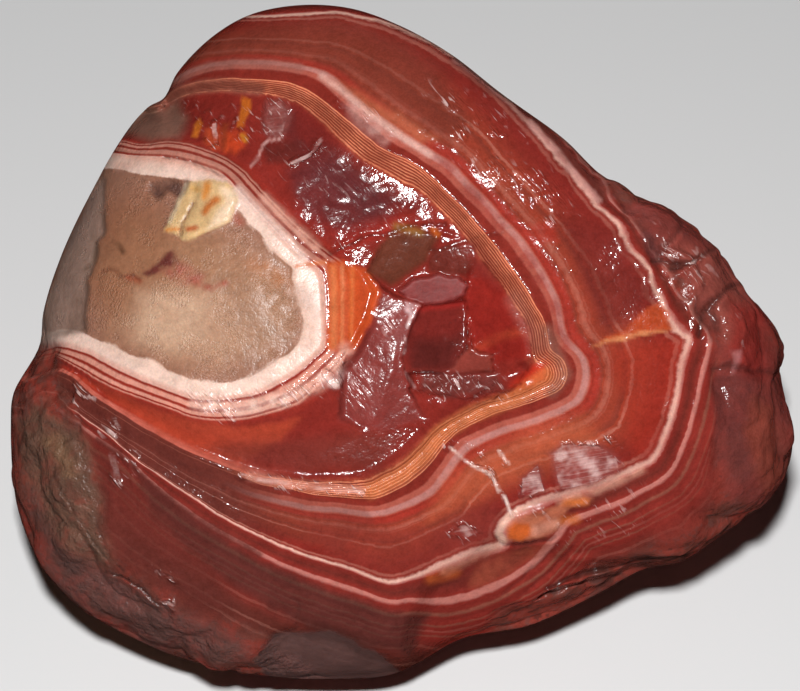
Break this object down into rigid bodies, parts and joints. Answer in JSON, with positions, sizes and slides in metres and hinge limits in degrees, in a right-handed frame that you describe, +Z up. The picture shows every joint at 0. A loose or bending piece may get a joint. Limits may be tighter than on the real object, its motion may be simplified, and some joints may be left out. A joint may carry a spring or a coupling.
{
  "type": "lake superior agate",
  "caption": "Rounded water-worn banded agate nodule with a broken cavity, a grey quartz window and a knobbly rind, resting on a small flat.",
  "frame": {"origin": "on the resting flat, straight below the middle of the banded face", "axes": "+Z up from the resting flat, +X to the right as the banded face is looked at, the face looks up and towards -Y"},
  "size_m": [0.06, 0.0497, 0.0477],
  "materials": {
    "banded_agate": "water-worn waxy gloss, red and orange bands with white and cream lines around a grey window"
  },
  "bodies": {
    "root": {"agate": "banded_agate"}
  },
  "joints": []
}
